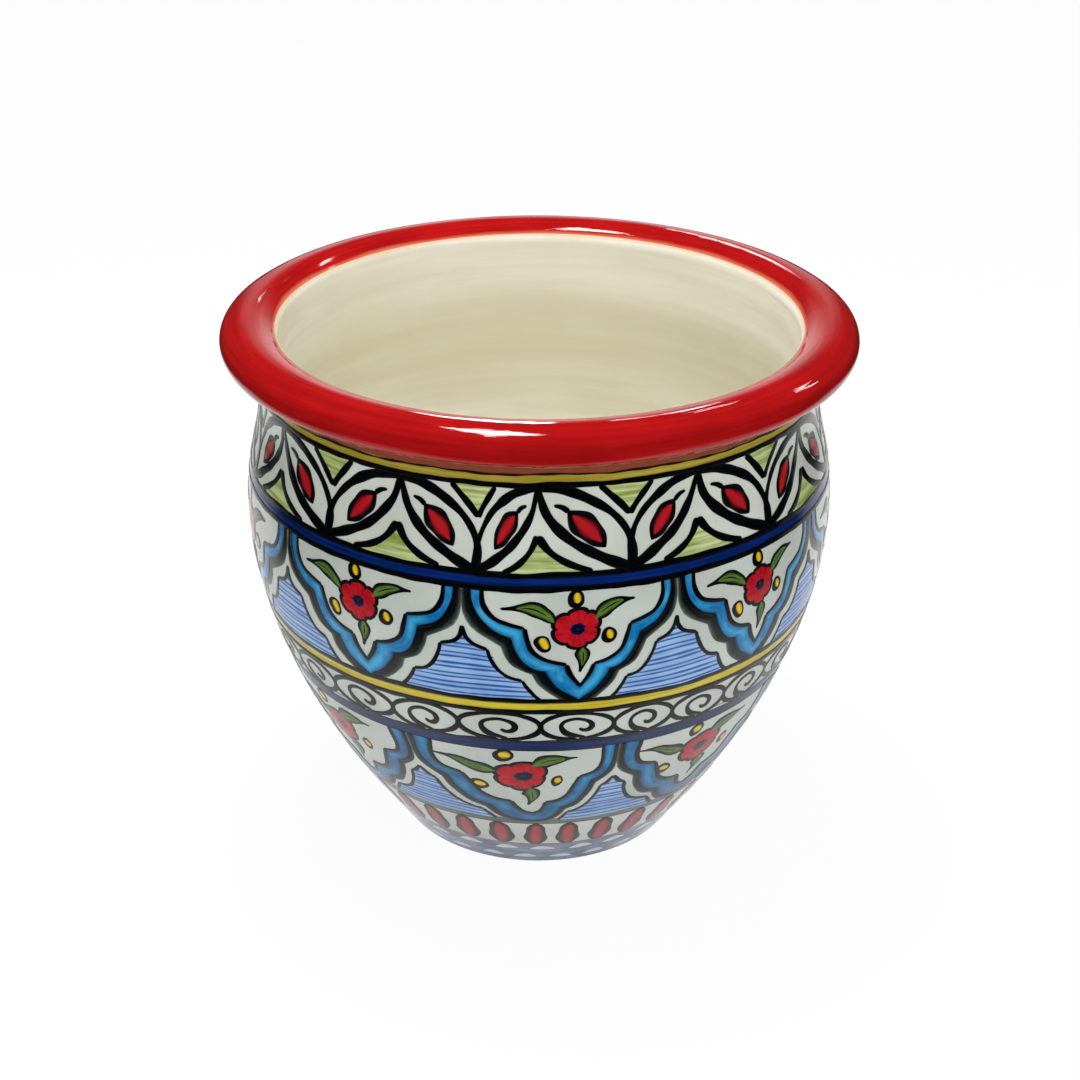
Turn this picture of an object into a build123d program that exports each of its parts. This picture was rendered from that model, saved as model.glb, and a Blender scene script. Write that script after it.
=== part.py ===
from build123d import *
import os

# Hand-painted cachepot: a wide bellied pot on a turned foot, with a fat rolled rim.
# Millimetres, +Z up, origin at the centre of the foot's standing face.
# Every piece is a ring about the Z axis, so each is drawn as a section (radius, height) and turned.

# Overall sizes
POT_HEIGHT = 267.0
RIM_DIAMETER = 300.0
BELLY_DIAMETER = 283.0
FOOT_DIAMETER = 143.0

# Rolled rim
RIM_ROLL_WIDTH = 27.0
RIM_ROLL_HEIGHT = 19.0
RIM_OVERHANG = 16.7
RIM_COLLAR_HEIGHT = 6.0
RIM_COLLAR_FILLET = 3.0
RIM_INNER_STEP = 0.15
RED_EDGE_RISE = 4.3

# Clay thicknesses
BELLY_WALL = 9.0
WAIST_WALL = 10.0
HEEL_WALL = 14.0
FOOT_WALL = 15.0
FLOOR_THICKNESS = 11.0
INNER_CORNER_RADIUS = 12.0
FOOT_RING_WIDTH = 12.0
FOOT_RECESS_DEPTH = 7.0

# Glaze, and the gap that keeps its back off the clay
GLAZE_THICKNESS = 0.8
GLAZE_CLEARANCE = 0.1
BARE_FOOT_EDGE = 1.0

# Painted lines between the ornament bands
BLACK_LINE_WIDTH = 2.2
HEEL_BROWN_WIDTH = 1.2
HEEL_GREEN_WIDTH = 5.2
WAIST_NAVY_WIDTH = 6.4
BELLY_YELLOW_WIDTH = 4.6
SHOULDER_COBALT_WIDTH = 4.3
NECK_YELLOW_WIDTH = 4.2

# Cuts run this far past what they cut
OVERRUN = 5.0

# Radius of the rim roll's sides, as a share of its half height, and the middle of a wall
RIM_SIDE_SHARE = 0.79
MIDDLE_SHARE = 0.5

# Side of the pot: heights as shares of the rim roll's centre height, and radii as shares
# of the way from the foot's to the belly's, or at the shoulder from the neck's to the belly's
HEEL_HEIGHT_SHARE = 0.14
WAIST_HEIGHT_SHARE = 0.41
BELLY_HEIGHT_SHARE = 0.655
SHOULDER_HEIGHT_SHARE = 0.775
NECK_HEIGHT_SHARE = 0.90
HEEL_RADIUS_SHARE = 0.34
WAIST_RADIUS_SHARE = 0.82
SHOULDER_RADIUS_SHARE = 0.68

# Ornament bands, from the foot up, as shares of the height that the lines leave
FOOT_WAVE_SHARE = 0.093
SEED_BAND_SHARE = 0.102
LOWER_LAPPET_SHARE = 0.270
SCROLL_BAND_SHARE = 0.078
UPPER_LAPPET_SHARE = 0.275
LEAF_BAND_SHARE = 0.182

# Rolled rim, neck and foot
roll_half_width = RIM_ROLL_WIDTH / 2
roll_half_height = RIM_ROLL_HEIGHT / 2
roll_radius = RIM_DIAMETER / 2 - roll_half_width
roll_height = POT_HEIGHT - roll_half_height
neck_radius = RIM_DIAMETER / 2 - RIM_OVERHANG
mouth_radius = RIM_DIAMETER / 2 - RIM_ROLL_WIDTH
belly_radius = BELLY_DIAMETER / 2
foot_radius = FOOT_DIAMETER / 2
collar_bottom = POT_HEIGHT - RIM_ROLL_HEIGHT - RIM_COLLAR_HEIGHT
red_edge_height = roll_height + RED_EDGE_RISE
outer_reach = RIM_DIAMETER / 2 + BELLY_DIAMETER / 2

# Depth of the bare clay under the finished surface, and the floor's height, bare and finished
clay_depth = GLAZE_THICKNESS + GLAZE_CLEARANCE
floor_top = FOOT_RECESS_DEPTH + FLOOR_THICKNESS
finished_floor = floor_top + clay_depth

# The wall is thrown in three rings, joined wet at the waist and at the shoulder
waist_joint = WAIST_HEIGHT_SHARE * roll_height
shoulder_joint = SHOULDER_HEIGHT_SHARE * roll_height

# Stations of the side, from the foot to the upright neck: height, radius, thickness of the finished wall
heel_radius = foot_radius + HEEL_RADIUS_SHARE * (belly_radius - foot_radius)
waist_radius = foot_radius + WAIST_RADIUS_SHARE * (belly_radius - foot_radius)
shoulder_radius = neck_radius + SHOULDER_RADIUS_SHARE * (belly_radius - neck_radius)
neck_wall = neck_radius - mouth_radius - RIM_INNER_STEP
stations = [
    (0, foot_radius, FOOT_WALL + 2 * clay_depth),
    (HEEL_HEIGHT_SHARE * roll_height, heel_radius, HEEL_WALL + 2 * clay_depth),
    (waist_joint, waist_radius, WAIST_WALL + 2 * clay_depth),
    (BELLY_HEIGHT_SHARE * roll_height, belly_radius, BELLY_WALL + 2 * clay_depth),
    (shoulder_joint, shoulder_radius, BELLY_WALL + 2 * clay_depth),
    (NECK_HEIGHT_SHARE * roll_height, neck_radius, neck_wall),
]


def within(inset, wall_share):
    """The section from the axis out to the side, set in by a length and by a share of the wall."""
    points = [(radius - inset - wall_share * wall, height) for height, radius, wall in stations]
    rise_from_foot = Vector(points[1]) - Vector(points[0])
    side = Spline(*points, tangents=[rise_from_foot, (0, 1)])
    neck_top = (points[-1][0], roll_height)
    neck_and_axis = Polyline(points[-1], neck_top, (0, roll_height), (0, 0), points[0])
    return make_face([side, neck_and_axis])


def slab(bottom, top, reach=outer_reach):
    """A level slice of the section, from the axis out to its reach."""
    return Pos(0, bottom) * Rectangle(reach, top - bottom, align=(Align.MIN, Align.MIN))


def hollow(inset):
    """The space inside the wall, above a floor with a rounded corner."""
    space = within(-inset, 1) & slab(finished_floor - inset, roll_height)
    corner = space.vertices().group_by(Axis.Y)[0].sort_by(Axis.X)[-1]
    return fillet(corner, INNER_CORNER_RADIUS + inset)


def rim_oval(inset):
    """The roll's section: two tight side arcs and two flatter crown arcs, tangent where they meet."""
    half_width = roll_half_width - inset
    half_height = roll_half_height - inset
    side_radius = RIM_SIDE_SHARE * roll_half_height - inset
    side_centre = half_width - side_radius
    crown_radius = (side_centre**2 + half_height**2 - side_radius**2) / (2 * (half_height - side_radius))
    reach_share = crown_radius / (crown_radius - side_radius)
    x = side_centre * reach_share
    y = half_height - crown_radius + (crown_radius - half_height) * reach_share
    outline = [
        ThreePointArc((x, y), (0, half_height), (-x, y)),
        ThreePointArc((-x, y), (-half_width, 0), (-x, -y)),
        ThreePointArc((-x, -y), (0, -half_height), (x, -y)),
        ThreePointArc((x, -y), (half_width, 0), (x, y)),
    ]
    return Pos(roll_radius, roll_height) * make_face(outline)


def pot_section(inset):
    """The whole pot's section, its surface set in from the finished one, with a soft hollow under the roll."""
    foot_recess = slab(0, FOOT_RECESS_DEPTH, foot_radius - FOOT_RING_WIDTH)
    joined = within(inset, 0) - hollow(inset) - foot_recess + rim_oval(inset)
    under_roll = (neck_radius - inset, roll_height - roll_half_height)
    corner = joined.vertices().sort_by_distance(under_roll)[0]
    return fillet(corner, RIM_COLLAR_FILLET + inset)


def turned(section):
    """The solid ring, or disc, that a section makes about the pot's axis."""
    return revolve(Plane.XZ * section, axis=Axis.Z)


# Sections of the clay and of the glaze coats, and the side of the wall that faces in
clay = pot_section(clay_depth)
coats = (pot_section(0) - pot_section(GLAZE_THICKNESS)) & slab(BARE_FOOT_EDGE, POT_HEIGHT + OVERRUN)
inside = within(0, MIDDLE_SHARE) & slab(FOOT_RECESS_DEPTH, roll_height)
inside += slab(roll_height, red_edge_height, roll_radius)
outer_coats = coats - inside

# Clay members, and the coats of the rim and the inside
rim_slab = slab(collar_bottom, POT_HEIGHT + OVERRUN)
sections = {
    "foot_ring": [clay & slab(0, FOOT_RECESS_DEPTH)],
    "floor_slab": [clay & slab(FOOT_RECESS_DEPTH, floor_top)],
    "lower_wall": [clay & slab(floor_top, waist_joint)],
    "belly_wall": [clay & slab(waist_joint, shoulder_joint)],
    "neck_wall": [clay & slab(shoulder_joint, collar_bottom)],
    "rim_roll": [clay & rim_slab],
    "rim_red_glaze": [outer_coats & rim_slab],
    "inner_cream_glaze": [coats & inside],
}

# Painted lines and ornament bands, stacked from the foot to the rim's collar:
# the node, the line's width, and the band's share of the height that the lines leave
band_stack = [
    ("foot_wave_band", 0, FOOT_WAVE_SHARE),
    ("heel_brown_line", HEEL_BROWN_WIDTH, 0),
    ("seed_band", 0, SEED_BAND_SHARE),
    ("heel_green_line", HEEL_GREEN_WIDTH, 0),
    ("lower_lappet_band", 0, LOWER_LAPPET_SHARE),
    ("waist_navy_line", WAIST_NAVY_WIDTH, 0),
    ("black_lines", BLACK_LINE_WIDTH, 0),
    ("scroll_band", 0, SCROLL_BAND_SHARE),
    ("black_lines", BLACK_LINE_WIDTH, 0),
    ("belly_yellow_line", BELLY_YELLOW_WIDTH, 0),
    ("black_lines", BLACK_LINE_WIDTH, 0),
    ("upper_lappet_band", 0, UPPER_LAPPET_SHARE),
    ("black_lines", BLACK_LINE_WIDTH, 0),
    ("shoulder_cobalt_line", SHOULDER_COBALT_WIDTH, 0),
    ("black_lines", BLACK_LINE_WIDTH, 0),
    ("leaf_band", 0, LEAF_BAND_SHARE),
    ("black_lines", BLACK_LINE_WIDTH, 0),
    ("neck_yellow_line", NECK_YELLOW_WIDTH, 0),
]
lines_height = sum(line_width for name, line_width, share in band_stack)
ornament_height = collar_bottom - BARE_FOOT_EDGE - lines_height
band_bottom = BARE_FOOT_EDGE
for name, line_width, share in band_stack:
    band_top = band_bottom + line_width + share * ornament_height
    sections.setdefault(name, []).append(outer_coats & slab(band_bottom, band_top))
    band_bottom = band_top

# One file per node
os.makedirs("parts", exist_ok=True)
for name, node_sections in sections.items():
    rings = [turned(section).solid() for section in node_sections]
    shape = rings[0] if len(rings) == 1 else Compound(children=rings)
    export_step(shape, f"parts/{name}.step")
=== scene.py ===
import math

import bpy
import numpy as np
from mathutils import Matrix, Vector


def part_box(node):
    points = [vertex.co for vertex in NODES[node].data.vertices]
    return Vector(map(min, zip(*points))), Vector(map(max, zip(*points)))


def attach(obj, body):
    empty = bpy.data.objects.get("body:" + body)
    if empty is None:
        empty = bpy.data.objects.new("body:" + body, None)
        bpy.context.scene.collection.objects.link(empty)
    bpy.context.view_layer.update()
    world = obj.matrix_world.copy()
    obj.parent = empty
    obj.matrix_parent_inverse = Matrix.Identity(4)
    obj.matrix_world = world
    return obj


# Hand-painted cachepot. The clay and its plain glaze coats come with the frame; here they get their
# finish, and the brushwork is laid over the white bands as thin sheets of enamel.
# Flat brushwork is drawn in millimetres: across from the middle of a repeat, up from a band's foot.
# Angles are in degrees round the pot from its front, which faces -Y, positive to the right.

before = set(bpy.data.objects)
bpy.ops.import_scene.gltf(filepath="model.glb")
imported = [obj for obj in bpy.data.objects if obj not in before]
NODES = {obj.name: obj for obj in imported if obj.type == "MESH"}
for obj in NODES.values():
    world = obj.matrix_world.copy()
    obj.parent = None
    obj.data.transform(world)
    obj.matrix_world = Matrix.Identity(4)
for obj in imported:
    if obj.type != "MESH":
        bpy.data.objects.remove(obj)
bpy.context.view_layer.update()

# One millimetre, in metres
MM = 0.001

# Camera at the photograph's view, with the photograph's width in pixels
PHOTO_WIDTH = 1080
CAMERA_PLACE = (0, -0.890, 0.596)
CAMERA_DOWN = math.radians(26.94)
CAMERA_ROLL = math.radians(-0.2)
CAMERA_LENS = 66.73
CAMERA_SENSOR = 36
CAMERA_SHIFT = -2.1 / PHOTO_WIDTH

# Layers of enamel: how high each stands over the ground at its edge and at its crown, in millimetres
WASH = (0.03, 0.05)
SHADE = (0.06, 0.08)
BODY = (0.09, 0.12)
TOP = (0.13, 0.18)
LINE = (0.17, 0.24)
ROOT_DEPTH = 0.06

# Rows across a stroke, a lappet's ribbon and a wide wash, enough to follow the curve of the pot
STROKE_ROWS = 4
LAPPET_ROWS = 6
WASH_ROWS = 28

# Points on a curve: fine steps in a span, along a scalloped run, along a list of widths, round a flower
SPAN_POINTS = 16
SCALLOP_POINTS = 16
WIDTH_POINTS = 60
DISC_POINTS = 73

# How much a stroke's width wavers along it
UNSTEADY = 0.08

# Distances within which points are one: on the flat drawing in millimetres, on the pot in metres
FLAT_SEAM = 0.005
POT_SEAM = 1e-6

# A length too small to divide by
TINY = 1e-9

# A face is on the outside if its normal points outwards by more than this
OUTWARD = 0.3

# Faces that meet at less than this are shaded as one
SMOOTH_ANGLE = math.radians(40)

# Fired coats: how strongly light bends into glaze and bare clay, how much relief shows and how deep it is
GLAZE_IOR = 1.45
CLAY_IOR = 1.3
RELIEF_STRENGTH = 0.35
STROKE_RELIEF = 0.2 * MM
RING_RELIEF = 0.3 * MM
GROUND_RELIEF = 0.4 * MM
THROWN_RELIEF = 1.2 * MM

# Nodes that make up the painted side
SIDE_NODES = [
    "foot_wave_band", "heel_brown_line", "seed_band", "heel_green_line", "lower_lappet_band",
    "waist_navy_line", "scroll_band", "belly_yellow_line", "upper_lappet_band",
    "shoulder_cobalt_line", "leaf_band", "neck_yellow_line", "black_lines",
]


# Shader wiring

def tint(red, green, blue):
    """A colour written as 0 to 255 on screen, as the shaders take it."""
    shares = [value / 255 for value in (red, green, blue)]
    linear = [s / 12.92 if s < 0.04045 else ((s + 0.055) / 1.055) ** 2.4 for s in shares]
    return (*linear, 1.0)


def between(first, second):
    """The colour halfway from one to another."""
    return tuple((a + b) / 2 for a, b in zip(first, second))


class Wire:
    """A value in a material's nodes. Arithmetic on wires adds Math nodes."""

    def __init__(self, tree, socket=None):
        self.tree = tree
        self.socket = socket

    def node(self, kind, settings, sockets, output=0):
        """Any node: its type, its settings, which are set first, and its sockets' values or wires."""
        made = self.tree.nodes.new("ShaderNode" + kind)
        for name, value in settings.items():
            if name == "stops":
                stops = made.color_ramp.elements
                while len(stops) < len(value):
                    stops.new(1)
                for stop, (place, colour) in zip(stops, value):
                    stop.position = place
                    stop.color = colour
            else:
                setattr(made, name, value)
        for name, value in sockets.items():
            if isinstance(value, Wire):
                self.tree.links.new(value.socket, made.inputs[name])
            else:
                made.inputs[name].default_value = value
        return Wire(self.tree, made.outputs[output] if made.outputs else None)

    def maths(self, operation, *values):
        return self.node("Math", {"operation": operation}, dict(enumerate(values)))

    def __add__(self, other):
        return self.maths("ADD", self, other)

    def __sub__(self, other):
        return self.maths("SUBTRACT", self, other)

    def __rsub__(self, other):
        return self.maths("SUBTRACT", other, self)

    def __mul__(self, other):
        return self.maths("MULTIPLY", self, other)

    def __truediv__(self, other):
        return self.maths("DIVIDE", self, other)

    __radd__ = __add__
    __rmul__ = __mul__

    def root(self):
        """The square root."""
        return self.maths("SQRT", self)

    def size(self):
        """The value without its sign."""
        return self.maths("ABSOLUTE", self)

    def rise(self, start, end):
        """0 up to start and 1 from end on, with a soft ramp between."""
        settings = {"interpolation_type": "SMOOTHSTEP"}
        return self.node("MapRange", settings, {"Value": self, "From Min": start, "From Max": end})

    def blend(self, low, high):
        """The colour that goes from low to high with this value."""
        return self.node("Mix", {"data_type": "RGBA"}, {0: self, 6: low, 7: high}, 2)

    def ramp(self, *stops):
        """The colour of this value on a row of stops."""
        return self.node("ValToRGB", {"stops": stops}, {0: self})

    def split(self):
        """The three components of a vector."""
        made = self.node("SeparateXYZ", {}, {0: self}).socket.node
        return [Wire(self.tree, output) for output in made.outputs]


def new_finish(name):
    """An empty material and the wire that starts its nodes."""
    finish = bpy.data.materials.new(name)
    finish.use_nodes = True
    finish.node_tree.nodes.clear()
    return finish, Wire(finish.node_tree)


def close_finish(start, colour, roughness, relief, depth, ior=GLAZE_IOR):
    """The glassy surface of a fired coat: its colour, gloss, and the relief that the brush leaves."""
    bump = start.node("Bump", {}, {"Strength": RELIEF_STRENGTH, "Distance": depth, "Height": relief})
    sockets = {"Base Color": colour, "Roughness": roughness, "Normal": bump, "IOR": ior}
    surface = start.node("BsdfPrincipled", {}, sockets)
    start.node("OutputMaterial", {}, {"Surface": surface})


def place_on_pot(start):
    """The point on the pot, in metres."""
    return start.node("TexCoord", {}, {}, "Object")


def place_in_stroke(start):
    """Where a point lies along a stroke and across it, each from 0 to 1."""
    along, across, _ = start.node("TexCoord", {}, {}, "UV").split()
    return along, across


def mottle(start, place, scale, detail=3.0):
    """Cloudy noise from 0 to 1."""
    sockets = {"Vector": place, "Scale": scale, "Detail": detail}
    return start.node("TexNoise", {}, sockets)


def wheel_streaks(start, fine, drawn_out=2.5):
    """Noise drawn out round the pot, as a brush leaves it on a turning wheel."""
    x, y, height = place_on_pot(start).split()
    radius = (x * x + y * y).root()
    turn = {"X": x / radius * drawn_out, "Y": y / radius * drawn_out, "Z": radius * fine}
    vector = start.node("CombineXYZ", {}, turn)
    sockets = {"Vector": vector, "W": height * fine, "Scale": 1.0, "Detail": 3.0}
    return start.node("TexNoise", {"noise_dimensions": "4D"}, sockets)


# Finishes of the frame's own coats

def ring_glaze(node, deep, thin, edge, fine=900):
    """A ring brushed on while the pot turned: fine streaks, and a darker uneven edge above and below."""
    finish, start = new_finish(node + "_glaze")
    low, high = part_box(node)
    middle, half = (low.z + high.z) / 2, (high.z - low.z) / 2
    height = place_on_pot(start).split()[2]
    streaks = wheel_streaks(start, fine)
    clouds = mottle(start, place_on_pot(start), 60)
    body = (streaks * 0.7 + clouds * 0.3).rise(0.32, 0.68).blend(deep, thin)
    from_middle = (height - middle).size() / half
    rim = (from_middle + (clouds - 0.5) * 0.7).rise(0.62, 1.05)
    close_finish(start, rim.blend(body, edge), clouds * 0.05 + 0.06, streaks, RING_RELIEF)
    return finish


def ground_glaze(name, pale, grey):
    """The white ground: nearly even, with soft clouds and a few darker specks."""
    finish, start = new_finish(name)
    place = place_on_pot(start)
    clouds = mottle(start, place, 22)
    specks = mottle(start, place, 520, 1.0).rise(0.74, 0.80)
    ground = clouds.rise(0.3, 0.7).blend(grey, pale)
    colour = (specks * 0.35).blend(ground, tint(140, 135, 120))
    close_finish(start, colour, clouds * 0.06 + 0.07, mottle(start, place, 160), GROUND_RELIEF)
    return finish


def red_rim_glaze():
    """Red over the roll, brushed round it: painted shade on the collar under it, thin at its inner edge."""
    finish, start = new_finish("red_rim_glaze")
    x, y, height = place_on_pot(start).split()
    radius = (x * x + y * y).root()
    low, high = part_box("rim_red_glaze")
    inner_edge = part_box("inner_cream_glaze")[1].z
    streaks = wheel_streaks(start, 420, 3.0)
    clouds = mottle(start, place_on_pot(start), 30)
    brushed = (streaks * 0.6 + clouds * 0.4).rise(0.3, 0.7)
    body = brushed.blend(tint(142, 11, 13), tint(168, 18, 19))
    # Painted shade: the collar under the roll is painted dark, going over into the brushed red towards the
    # roll
    crown = height.rise(low.z + 2 * MM, low.z + 14 * MM)
    shaded = crown.blend(tint(52, 13, 10), body)
    inner_side = radius.rise(high.x - 15 * MM, high.x - 19 * MM)
    thin = (height - inner_edge + (clouds - 0.5) * 1.5 * MM).rise(1.8 * MM, 0)
    colour = (inner_side * thin).blend(shaded, tint(204, 108, 82))
    close_finish(start, colour, clouds * 0.04 + 0.02, streaks, GROUND_RELIEF)
    return finish


def cream_inside_glaze():
    """Cream over the thrown inside: faint rings from the potter's fingers, a warm edge under the red."""
    finish, start = new_finish("cream_inside_glaze")
    height = place_on_pot(start).split()[2]
    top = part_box("inner_cream_glaze")[1].z
    rings = wheel_streaks(start, 110, 1.0)
    fine_rings = wheel_streaks(start, 800, 2.0)
    clouds = mottle(start, place_on_pot(start), 14)
    upper_wall = height.rise(top - 12 * MM, top - 50 * MM).blend(tint(246, 243, 232), tint(230, 227, 209))
    lower_wall = height.rise(top - 60 * MM, top - 110 * MM).blend(upper_wall, tint(251, 249, 242))
    wall = height.rise(top - 140 * MM, top - 190 * MM).blend(lower_wall, tint(232, 229, 216))
    shade = (rings * 0.5 + fine_rings * 0.1 + clouds * 0.4).rise(0.34, 0.64)
    thrown = (shade * 0.5).blend(wall, tint(214, 208, 178))
    edge = (height - top + (clouds - 0.5) * 2 * MM).rise(-2.2 * MM, 0)
    colour = (edge * 0.8).blend(thrown, tint(224, 188, 156))
    close_finish(start, colour, clouds * 0.1 + 0.18, rings, THROWN_RELIEF)
    return finish


def bare_clay():
    """Fired clay where no glaze runs: fine grit and the marks of turning."""
    finish, start = new_finish("bare_clay_body")
    grit = mottle(start, place_on_pot(start), 900, 4.0)
    turning = wheel_streaks(start, 500)
    colour = (grit * 0.6 + turning * 0.4).rise(0.35, 0.65).blend(tint(150, 96, 68), tint(188, 130, 98))
    close_finish(start, colour, grit * 0.2 + 0.65, grit + turning, GROUND_RELIEF, CLAY_IOR)
    return finish


def foot_wash_glaze():
    """Watery blue-grey round the foot, in broad uneven strokes."""
    finish, start = new_finish("foot_wash_glaze")
    streaks = wheel_streaks(start, 260, 5.0)
    clouds = mottle(start, place_on_pot(start), 60)
    washed = (streaks * 0.5 + clouds * 0.5).rise(0.35, 0.65)
    colour = washed.blend(tint(84, 98, 128), tint(140, 156, 182))
    close_finish(start, colour, clouds * 0.05 + 0.08, streaks, RING_RELIEF)
    return finish


# Finishes of the brushwork, read along and across each stroke

def stroke_paint(name, edge, middle, dry=0.25, spread=(0.1, 0.95)):
    """A single loaded brush stroke: one colour at its edges, another down its middle, a little streaky."""
    finish, start = new_finish(name)
    along, across = place_in_stroke(start)
    drawn = start.node("CombineXYZ", {}, {"X": along * 2.0, "Y": across * 7.0})
    hairs = mottle(start, drawn, 2.0)
    clouds = mottle(start, place_on_pot(start), 160)
    ridge = 4.0 * across * (1.0 - across)
    loaded = (ridge + (hairs - 0.5) * dry + (clouds - 0.5) * dry).rise(*spread)
    close_finish(start, loaded.blend(edge, middle), clouds * 0.04 + 0.05, hairs, STROKE_RELIEF)
    return finish


def ribbon_paint(name, deep, body, pale):
    """The lappets' turquoise ribbon: dark at both edges, with a broken pale streak along its middle."""
    finish, start = new_finish(name)
    along, across = place_in_stroke(start)
    drawn = start.node("CombineXYZ", {}, {"X": along * 8.0, "Y": across * 2.5})
    hairs = mottle(start, drawn, 1.8)
    clouds = mottle(start, place_on_pot(start), 75)
    from_streak = (across - 0.5 + (hairs - 0.5) * 0.3).size()
    streak = from_streak.rise(0.3, 0.02) * clouds.rise(0.38, 0.62)
    edge = ((across - 0.5).size() + (hairs - 0.5) * 0.3).rise(0.25, 0.48)
    uneven = (clouds * 0.5 + hairs * 0.5).rise(0.3, 0.7).blend(body, between(body, pale))
    painted = streak.blend(uneven, pale)
    close_finish(start, edge.blend(painted, deep), clouds * 0.05 + 0.04, hairs, STROKE_RELIEF)
    return finish


def shade_paint():
    """The dark edging outside a ribbon: black beside it, thinning to grey-green."""
    finish, start = new_finish("lappet_shade_paint")
    across = place_in_stroke(start)[1]
    clouds = mottle(start, place_on_pot(start), 140)
    thinning = across + (clouds - 0.5) * 0.5
    stops = [
        (0.0, tint(5, 8, 10)),
        (0.5, tint(12, 16, 16)),
        (0.85, tint(56, 64, 58)),
        (1.0, tint(104, 112, 102)),
    ]
    close_finish(start, thinning.ramp(*stops), clouds * 0.05 + 0.06, clouds, STROKE_RELIEF)
    return finish


def wash_paint(name, deep, pale, fine):
    """A thin wash laid in level strokes, paler where the brush ran dry."""
    finish, start = new_finish(name)
    streaks = wheel_streaks(start, fine, 4.0)
    clouds = mottle(start, place_on_pot(start), 70)
    colour = (streaks * 0.75 + clouds * 0.25).rise(0.34, 0.66).blend(deep, pale)
    close_finish(start, colour, clouds * 0.05 + 0.06, streaks, STROKE_RELIEF)
    return finish


def petal_paint():
    """Petal red: darker folds running out from the heart."""
    finish, start = new_finish("petal_red_paint")
    along, across = place_in_stroke(start)
    drawn = start.node("CombineXYZ", {}, {"X": along * 26.0, "Y": across * 1.5})
    folds = mottle(start, drawn, 1.0)
    clouds = mottle(start, place_on_pot(start), 180)
    lit = (folds * 0.6 + clouds * 0.4).rise(0.36, 0.62)
    colour = lit.blend(tint(150, 12, 24), tint(186, 22, 34))
    close_finish(start, colour, clouds * 0.05 + 0.06, folds, STROKE_RELIEF)
    return finish


# The pot's painted side, as heights and radii

def side_profile():
    """Heights and outer radii of the painted side, from the rows of the bands' own meshes."""
    rows = {}
    for name in SIDE_NODES:
        mesh = NODES[name].data
        for face in mesh.polygons:
            centre, normal = face.center, face.normal
            outward = centre.x * normal.x + centre.y * normal.y
            if outward > OUTWARD * math.hypot(centre.x, centre.y):
                for index in face.vertices:
                    point = mesh.vertices[index].co
                    rows[round(point.z, 5)] = math.hypot(point.x, point.y)
    heights = sorted(rows)
    return np.array(heights), np.array([rows[height] for height in heights])


SIDE_HEIGHTS, SIDE_RADII = side_profile()


def sway(angle, height):
    """How far the painter's hand strays at a place, along and up, in millimetres."""
    turn = np.radians(angle)
    along = 0.45 * np.sin(5 * turn + 0.07 * height) + 0.3 * np.sin(14 * turn - 0.13 * height + 1.0)
    up = 0.4 * np.sin(4 * turn + 0.05 * height + 2.0) + 0.25 * np.sin(17 * turn + 0.16 * height)
    return along, up


def on_pot(angle, height, lift):
    """Points on the painted side: degrees round it, millimetres up it and millimetres proud of it."""
    along, up = sway(angle, height)
    radius = np.interp((height + up) * MM, SIDE_HEIGHTS, SIDE_RADII)
    turn = np.radians(angle) + along * MM / radius
    reach = radius + lift * MM
    return np.column_stack([reach * np.sin(turn), -reach * np.cos(turn), (height + up) * MM])


# Brushwork, drawn flat

def smooth(points, count):
    """Points along a smooth curve through a few chosen ones, closer together towards its ends."""
    knots = np.array(points, float)
    chain = np.vstack([2 * knots[0] - knots[1], knots, 2 * knots[-1] - knots[-2]])
    step = np.linspace(0, 1, SPAN_POINTS, endpoint=False)[:, None]
    spans = []
    for a, b, c, d in zip(chain, chain[1:], chain[2:], chain[3:]):
        bend = 2 * a - 5 * b + 4 * c - d
        spans.append(b + step * ((c - a) + step * (bend + step * (3 * (b - c) + d - a))) / 2)
    fine = np.vstack([*spans, knots[-1:]])
    travel = lengths_along(fine)
    wanted = travel[-1] * (1 - np.cos(np.linspace(0, np.pi, count))) / 2
    return np.column_stack([np.interp(wanted, travel, fine[:, axis]) for axis in (0, 1)])


def scalloped(runs):
    """A line of smooth runs that meet at cusps."""
    return np.vstack([smooth(run, SCALLOP_POINTS)[:-1] for run in runs] + [[runs[-1][-1]]])


def mirrored(points):
    """The same points on the other side of the middle line."""
    return np.array(points, float) * (-1, 1)


def sheet_between(first, second, layer, rows=STROKE_ROWS):
    """Rows of points from one side line to the other, a little crowned, as an array of x, y and lift."""
    share = np.linspace(0, 1, rows + 1)[:, None, None]
    flat = np.asarray(first) * (1 - share) + np.asarray(second) * share
    edge, crown = layer
    lift = edge + (crown - edge) * 4 * share * (1 - share)
    return np.dstack([flat, np.broadcast_to(lift[..., 0], flat.shape[:2])])


def lengths_along(path):
    """How far each point of a path is from its start."""
    return np.concatenate([[0], np.cumsum(np.hypot(*np.diff(path, axis=0).T))])


def trimmed(path, start, end):
    """A path with a length cut off at each end."""
    travel = lengths_along(path)
    return smooth(path[(travel >= start) & (travel <= travel[-1] - end)], len(path))


def almond(width, fullness=0.75, lean=1.0):
    """The rule for a stroke that is pressed down between two fine tips, its fullest part leaning to one."""
    return lambda share: width * np.sin(np.pi * share ** lean) ** fullness


def drop(width, tip=0.65, foot=0.5, fullest=2.2):
    """The rule for a stroke like a drop, pointed where it starts and round where it ends."""
    return lambda share: fullest * width * share ** tip * (1 - share) ** foot


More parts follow.
